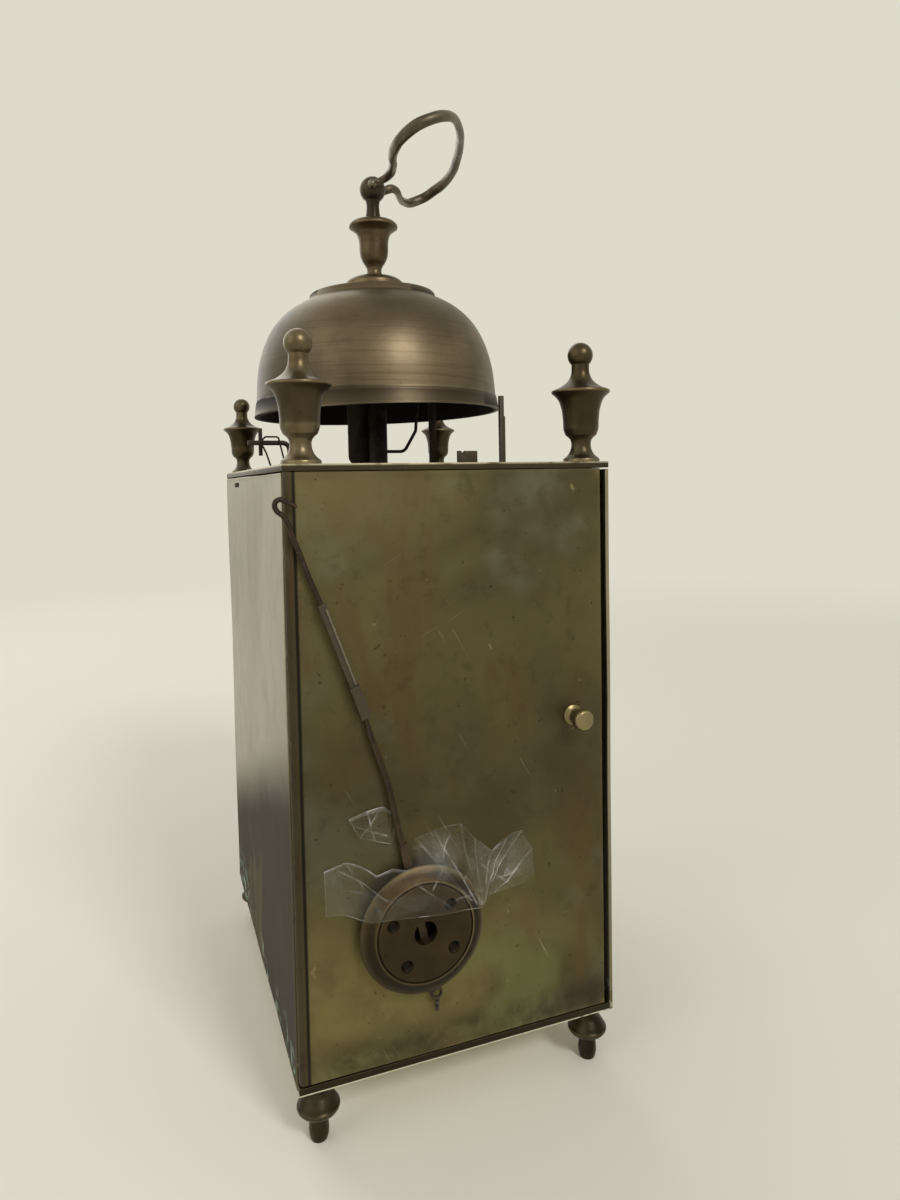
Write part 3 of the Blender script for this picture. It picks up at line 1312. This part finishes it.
def film(top, foot, columns, rows, folds, lift_at):
    """A film between two long edges, raised by lift_at, with its crease, facet and milk marks."""
    bm = bmesh.new()
    crease, facet, milk = [bm.verts.layers.float.new(name) for name in ("crease", "facet", "milk")]
    grid = []
    for i in range(columns + 1):
        share = i / columns
        low, high = at_share(foot, share), at_share(top, share)
        row = []
        for j in range(rows + 1):
            spot = low.lerp(high, j / rows)
            fold, sharp, shine = crumple(spot.x, spot.y, folds)
            rim = min(i, columns - i, rows - j, j) < 1
            at_torn_end = spot.x > torn_end
            bright = 0.9 if rows - j < 2 and at_torn_end else 0.5
            vertex = bm.verts.new((spot.x, lift_at(spot.x, spot.y, fold), spot.y))
            vertex[crease] = min(1.0, sharp + (bright if rim else 0.0))
            vertex[facet] = min(1.0, shine)
            vertex[milk] = 0.8 if rows - j < 4 and at_torn_end else 0.0
            for centre, half, strength in milky_patches:
                away = math.hypot((spot.x - centre[0]) / half[0], (spot.y - centre[1]) / half[1])
                vertex[milk] += max(0.0, 1.0 - away) * strength
            row.append(vertex)
        grid.append(row)
    for i in range(columns):
        for j in range(rows):
            bm.faces.new((grid[i][j], grid[i + 1][j], grid[i + 1][j + 1], grid[i][j + 1]))
    return bm


def tape_work(film_finish):
    """The crumpled clear tape over the bob, and the scrap beside it."""
    bob_top = box("pendulum_bob")[1].y
    highest = box("transit_tape")[1].y

    def lift(x, z, fold):
        reach = math.hypot(x - bob_at.x, z - bob_at.z)
        on_bob = eased_share((drape_reach - reach) / drape_width)
        loose = 0.3 + 0.7 * min(1, max(0, (loose_start - x) / loose_length))
        level = door_side + film_gap + (bob_top + 0.25 - door_side - film_gap) * on_bob
        return min(highest - 0.05, level + fold * (1.5 * loose * (1 - on_bob) + 0.12 * on_bob))

    def scrap_lift(x, z, fold):
        return door_side + scrap_gap + fold

    tape = film(tape_top, tape_foot, columns=250, rows=76, folds=tape_folds, lift_at=lift)
    scrap = film(scrap_top, scrap_foot, columns=48, rows=30, folds=scrap_folds, lift_at=scrap_lift)
    bm = joined(tape, scrap)
    bm = applied(scaled(bm, MM), ("SOLIDIFY", {"thickness": film_thickness * MM, "offset": 0.0}))
    mesh = as_mesh(bm, "crumpled_tape")
    settled(mesh, "crumpled_tape", "door", film_finish, "transit_tape", sharp=60)


def ring_of_marks():
    """A node tree that lays flat marks round a circle in the dial's plane."""
    tree = bpy.data.node_groups.new("ring_of_marks", "GeometryNodeTree")
    inputs = {}
    for label, kind, value in (("Count", "NodeSocketInt", 60), ("Radius", "NodeSocketFloat", 0.04),
                               ("Length", "NodeSocketFloat", 0.002), ("Width", "NodeSocketFloat", 0.0004),
                               ("Thickness", "NodeSocketFloat", 0.0001), ("Turn", "NodeSocketFloat", 0.0),
                               ("Finish", "NodeSocketMaterial", None)):
        socket = tree.interface.new_socket(label, in_out="INPUT", socket_type=kind)
        if value is not None:
            socket.default_value = value
        inputs[label] = socket.identifier
    tree.interface.new_socket("Geometry", in_out="OUTPUT", socket_type="NodeSocketGeometry")

    def add(kind, values=None, **settings):
        made = tree.nodes.new(kind)
        for key, value in settings.items():
            setattr(made, key, value)
        for key, value in (values or {}).items():
            if isinstance(value, bpy.types.NodeSocket):
                tree.links.new(value, made.inputs[key])
            else:
                made.inputs[key].default_value = value
        return made

    given = add("NodeGroupInput").outputs
    circle = add("GeometryNodeMeshCircle", {"Vertices": given["Count"], "Radius": given["Radius"]})
    size = add("ShaderNodeCombineXYZ", {0: given["Length"], 1: given["Width"], 2: given["Thickness"]})
    mark = add("GeometryNodeMeshCube", {"Size": size.outputs[0]})
    place = add("GeometryNodeInputPosition")
    facing = add("FunctionNodeAlignEulerToVector", {"Vector": place.outputs[0]}, axis="X", pivot_axis="Z")
    laid = add("GeometryNodeInstanceOnPoints", {"Points": circle.outputs[0], "Instance": mark.outputs[0],
                                                "Rotation": facing.outputs[0]})
    whole = add("GeometryNodeRealizeInstances", {"Geometry": laid.outputs[0]})
    spin = add("ShaderNodeCombineXYZ", {2: given["Turn"]})
    turned = add("GeometryNodeTransform", {"Geometry": whole.outputs[0], "Rotation": spin.outputs[0]})
    inked = add("GeometryNodeSetMaterial", {"Geometry": turned.outputs[0], "Material": given["Finish"]})
    add("NodeGroupOutput", {"Geometry": inked.outputs[0]})
    return tree, inputs


def marks_mesh(tree, inputs, **values):
    """One ring of marks as a bmesh in millimetres, flat about Z."""
    mesh = bpy.data.meshes.new("marks")
    holder = placed("marks", mesh)
    modifier = holder.modifiers.new("marks", "NODES")
    modifier.node_group = tree
    for label, value in values.items():
        modifier[inputs[label]] = value
    bm = as_bmesh(worked_out(holder))
    bpy.data.objects.remove(holder)
    bpy.data.meshes.remove(mesh)
    return scaled(bm, 1 / MM)


def stroke(bm, start, end, width, depth):
    """One flat stroke of a numeral between two points of the dial's plane."""
    run = (Vector(end) - Vector(start)).normalized()
    side = Vector((-run.y, run.x)) * width / 2
    corners = [Vector(start) + side, Vector(end) + side, Vector(end) - side, Vector(start) - side]
    low = [bm.verts.new((c.x, c.y, 0)) for c in corners]
    high = [bm.verts.new((c.x, c.y, depth)) for c in corners]
    bm.faces.new(low)
    bm.faces.new(high)
    skinned(bm, (low, high))


def roman(letters, height, depth):
    """An hour number in strokes, upright about its middle, with fine feet."""
    thick, thin, gap = height * 0.15, height * 0.05, height * 0.07
    widths = {"I": thick, "V": height * 0.55, "X": height * 0.6}
    total = sum(widths[letter] for letter in letters) + gap * 1.7 * (len(letters) - 1)
    bm = bmesh.new()
    x, half = -total / 2, height / 2
    for letter in letters:
        width = widths[letter]
        if letter == "I":
            stroke(bm, (x + width / 2, -half), (x + width / 2, half), thick, depth)
        elif letter == "V":
            stroke(bm, (x + thick / 2, half), (x + width / 2, -half), thick, depth)
            stroke(bm, (x + width - thin / 2, half), (x + width / 2, -half), thin, depth)
        else:
            stroke(bm, (x + thick / 2, half), (x + width - thick / 2, -half), thick, depth)
            stroke(bm, (x + width - thin, half), (x + thin, -half), thin, depth)
        x += width + gap * 1.7
    for level in (half, -half):
        if level > 0 or letters[-1] != "V" or len(letters) > 1:
            stroke(bm, (-total / 2 - gap, level), (total / 2 + gap, level), thin, depth)
    return bm


def holes_at(radii_at, thickness, segments):
    """Round cutters through the dial, at (x, height, radius) from its middle."""
    return [moved(spun([(radius, -1), (radius, thickness + 1)], segments), (x, z, 0))
            for x, z, radius in radii_at]


def hour_place(hour, circle):
    """Moves a number out to its hour on a circle."""
    return Matrix.Rotation(-math.radians(30 * hour), 4, "Z") @ Matrix.Translation((0, circle, 0))


def enamel_work(white):
    """The domed enamel dial with its centre hole and its two winding holes."""
    radius, thickness = half_size("dial").x, dial_thickness
    dome = [(0, 0), (radius, 0), (radius, thickness - 0.5), (radius - 0.5, thickness - 0.12),
            (radius - 1.2, thickness - 0.02), (radius * 0.5, thickness), (0, thickness)]
    holes = holes_at([(0, 0, centre_hole_radius), (winding_x, -winding_drop, winding_hole_radius),
                      (-winding_x, -winding_drop, winding_hole_radius)], thickness, 40)
    disc = cut_by(spun(dome, 128), holes)
    finished(disc, "enamel_dial", "case", white, "dial", turn=facing, at=(0, dial_side, dial_middle.z),
             sharp=30)


def numbers_work(black, tree, inputs):
    """The fired black of the dial: minute marks, hour marks, fine rings and hour numbers."""
    marks = bmesh.new()
    for count, circle, length, width in ((60, minute_ring, 2.2, 0.35), (12, minute_ring, 2.4, 1.1),
                                         (48, hour_ring, 1.1, 0.3)):
        marks = joined(marks, marks_mesh(tree, inputs, Count=count, Radius=circle * MM, Length=length * MM,
                                         Width=width * MM, Thickness=mark_thickness * 2 * MM,
                                         Finish=black.material))
    for radius in fine_rings:
        inner, outer = radius - fine_ring_half_width, radius + fine_ring_half_width
        ring = [(inner, -mark_thickness), (outer, -mark_thickness), (outer, mark_thickness),
                (inner, mark_thickness)]
        marks = joined(marks, spun(ring, 128, ring=True))
    for hour, letters in enumerate(hour_letters, 1):
        number = roman(letters, numeral_height, mark_thickness)
        bmesh.ops.transform(number, matrix=hour_place(hour, numeral_circle), verts=number.verts)
        marks = joined(marks, number)
    marks = cut_by(marks, holes_at([(winding_x, -winding_drop, clear_hole_radius),
                                    (-winding_x, -winding_drop, clear_hole_radius)], 0, 32))
    finished(marks, "dial_numbers", "case", black, turn=facing, at=(0, dial_face + 0.01, dial_middle.z))


def surround_work(brass):
    """The moulded bezel round the dial."""
    low, high = box("dial_bezel")
    outer, inner, height = half_size("dial_bezel").x, half_size("dial").x + 0.03, high.y - low.y
    ring = [(inner, 0), (outer, 0), (outer, 0.35), (outer - 0.35, 1.1), (outer - 0.6, 1.4),
            (outer - 0.75, 1.9), (outer - 1.3, height - 0.25), (outer - 2.0, height), (inner + 0.9, height),
            (inner + 0.35, height - 0.15), (inner, height - 0.5)]
    finished(spun(ring, 128, ring=True), "dial_surround", "case", brass, "dial_bezel", turn=facing,
             at=(0, dial_side, dial_middle.z), sharp=30)


def alarm_work(brass, black, tree, inputs):
    """The alarm disc with its small numbers, which turns on the hour pipe."""
    softened("alarm_disc", brass, edge=0.12)
    numbers = marks_mesh(tree, inputs, Count=12, Radius=alarm_ring * MM, Length=1.0 * MM, Width=0.4 * MM,
                         Thickness=mark_thickness * MM, Finish=black.material)
    for number in range(1, 13):
        curve = bpy.data.curves.new("number", "FONT")
        curve.body = str(number)
        curve.size = alarm_number_size
        curve.align_x = "CENTER"
        curve.align_y = "CENTER"
        curve.extrude = mark_thickness / 2
        curve.resolution_u = 3
        label = placed("number", curve)
        mesh = worked_out(label)
        mesh.transform(hour_place(number, alarm_number_circle))
        numbers.from_mesh(mesh)
        bpy.data.meshes.remove(mesh)
        bpy.data.objects.remove(label)
    finished(numbers, "alarm_numbers", "alarm_setting", black, turn=facing,
             at=(0, box("alarm_disc")[0].y, dial_middle.z))


def dial_work(white, black, brass, hand_steel):
    """The enamel dial with its numbers and minute marks, the bezel, the alarm disc and the hands."""
    enamel_work(white)
    tree, inputs = ring_of_marks()
    numbers_work(black, tree, inputs)
    surround_work(brass)
    alarm_work(brass, black, tree, inputs)
    softened("hour_hand", hand_steel, edge=0.1)
    softened("minute_hand", hand_steel, edge=0.1)


def steel_work(iron, wire_iron):
    """The hammers, the strap, the stop, the bent wire and the pull lever on top."""
    for node in ("strike_hammer", "alarm_hammer", "bell_strap", "notched_stop", "check_wire",
                 "repeat_lever", "bell_stand"):
        softened(node, iron, edge=0.12)
    softened("lever_wires", wire_iron, edge=0.05)


# The room: its pale colour, the floor's paint, and where the floor runs into the room, in metres
room_colour = ink(222, 219, 203)
floor_paint = ink(241, 238, 222)
floor_radius = 6.0
floor_clear, floor_gone = 0.25, 1.5
room_light = (1.0, 0.98, 0.95, 1.0)
room_strength = 0.4

# Each lamp's name, place in metres, size in metres and power in watts
lamps = [("right_lamp", (-0.3, 1.33, 1.15), 0.4, 11.0), ("left_lamp", (1.5, 0.3, 0.9), 1.6, 6.0),
         ("dial_lamp", (0.4, -1.4, 1.0), 1.6, 10.0)]
lamp_aim = Vector((0, 0, 0.14))

# The camera's place in metres, what it looks along, and which way is up in the picture
camera_place = Vector((0.0911, 0.30457, 0.19659))
camera_forward = Vector((-0.357539, -0.932547, -0.050224))
camera_up = Vector((-0.034964, -0.040375, 0.998573))
camera_lens, camera_film, camera_shift = 24.42, 36.0, -0.0628


def seen_directly(tree):
    """1 for rays from the camera, a mirror or clear film, and 0 for the light on the object."""
    camera, glossy, through = [tree.node("LightPath", out=f"Is {kind} Ray")
                               for kind in ("Camera", "Glossy", "Transmission")]
    return tree.node("Math", {"operation": "ADD", "use_clamp": True}, {0: camera + glossy, 1: through})


def room_work(scene):
    """A pale room: an even light on the object, and the room's colour where it is seen itself."""
    world = bpy.data.worlds.new("room")
    scene.world = world
    tree = Tree(world)
    light = tree.node("Background", None, {"Color": room_light, "Strength": room_strength})
    background = tree.node("Background", None, {"Color": room_colour, "Strength": 1.0})
    chosen = tree.node("MixShader", None, {0: seen_directly(tree), 1: light, 2: background})
    tree.node("OutputWorld", None, {"Surface": chosen})


def floor_work():
    """A round pale floor that runs into the room's colour further out."""
    bm = bmesh.new()
    bmesh.ops.create_circle(bm, cap_ends=True, segments=96, radius=floor_radius)
    mesh = as_mesh(bm, "floor")
    floor = placed("pale_floor", mesh)
    material = bpy.data.materials.new("pale_floor_paint")
    tree = Tree(material)
    paint = tree.node("BsdfPrincipled", None, {"Base Color": floor_paint, "Roughness": 0.75})
    glow = tree.node("Emission", None, {"Color": room_colour, "Strength": 1.0})
    reach = tree.node("VectorMath", {"operation": "LENGTH"}, {0: tree.node("TexCoord", out="Object")},
                      out="Value")
    share = seen_directly(tree) * tree.step(reach, floor_clear, floor_gone)
    chosen = tree.node("MixShader", None, {0: share, 1: paint, 2: glow})
    tree.node("OutputMaterial", None, {"Surface": chosen})
    mesh.materials.append(material)


def lamp_work():
    """Large soft lamps round the object."""
    for name, place, size, power in lamps:
        lamp = bpy.data.lights.new(name, "AREA")
        lamp.shape = "SQUARE"
        lamp.size = size
        lamp.energy = power
        holder = placed(name, lamp)
        holder.location = place
        holder.rotation_euler = (lamp_aim - Vector(place)).to_track_quat("-Z", "Y").to_euler()


def camera_work(scene):
    """The camera at the photograph's place and angle."""
    view = bpy.data.cameras.new("photo_view")
    view.sensor_fit = "VERTICAL"
    view.sensor_height = camera_film
    view.lens = camera_lens
    view.shift_y = camera_shift
    view.clip_start = 0.01
    camera = placed("photo_view", view)
    forward = camera_forward.normalized()
    right = forward.cross(camera_up).normalized()
    turn = Matrix((right, right.cross(forward), -forward)).transposed().to_4x4()
    camera.matrix_world = Matrix.Translation(camera_place) @ turn
    scene.camera = camera
    scene.view_settings.view_transform = "Standard"


def paint_node(node, finish):
    """A node that keeps its own shape gets a finish."""
    kept = frame["nodes"][node]
    for holder in kept.material_slots:
        holder.link = "OBJECT"
        holder.material = finish.material


room_work(bpy.context.scene)
floor_work()
lamp_work()
camera_work(bpy.context.scene)

plates = plate_brass()
knob_finish = turned_brass("knob_brass", (132, 119, 84), (104, 92, 62), (178, 164, 120))
foot_finish = turned_brass("turned_foot_brass", (58, 51, 36), (38, 32, 21), (128, 116, 88), seat=0.12)
finial_finish = turned_brass("finial_brass", (108, 96, 72), (76, 64, 43),
                             cup=(top_high + 11.0, top_high + 24.5))
handle_finish = handled_bronze("handle_bronze", (104, 95, 80), (66, 57, 44), (150, 142, 122))
urn_finish = handled_bronze("urn_bronze", (100, 86, 62), (66, 54, 38), (136, 120, 92),
                            high_dark=box("bell_finial")[0].z + 22.0)
iron = old_steel("dark_forged_steel", "dark_steel", (34, 29, 24), (56, 45, 35), (96, 86, 70), (70, 46, 30))
wire_iron = old_steel("rusty_iron_wire", "rusty_wire", (36, 28, 22), (58, 42, 30), (92, 76, 58), (78, 48, 30))
pale_iron = old_steel("torn_solder_edge", "rusty_wire", (56, 50, 38), (96, 88, 70), (140, 132, 110),
                      (48, 35, 24))
movement_metal = wheel_brass()
black = numeral_black()

turned_work(finial_finish, foot_finish)
bell_work(bell_bronze(), urn_finish)
handle_work(handle_finish)
door_work(door_brass())
side_work(side_brass())
knob_work(knob_finish)
pendulum_work(wire_iron, iron, pale_iron, bob_brass())
tape_work(clear_film())
dial_work(dial_enamel(), black, knob_finish, blued_steel())
steel_work(iron, wire_iron)
for name in ("base_plate", "top_plate", "front_plate"):
    softened(name, plates, edge=0.2)

steel_nodes = ("door_hinge_pins", "movement_pillars", "crown_potence", "suspension_cock", "verge", "fly",
               "going_winding_arbor", "strike_winding_arbor")
for name in frame["nodes"]:
    paint_node(name, iron if name in steel_nodes else movement_metal)
paint_node("corner_posts", plates)
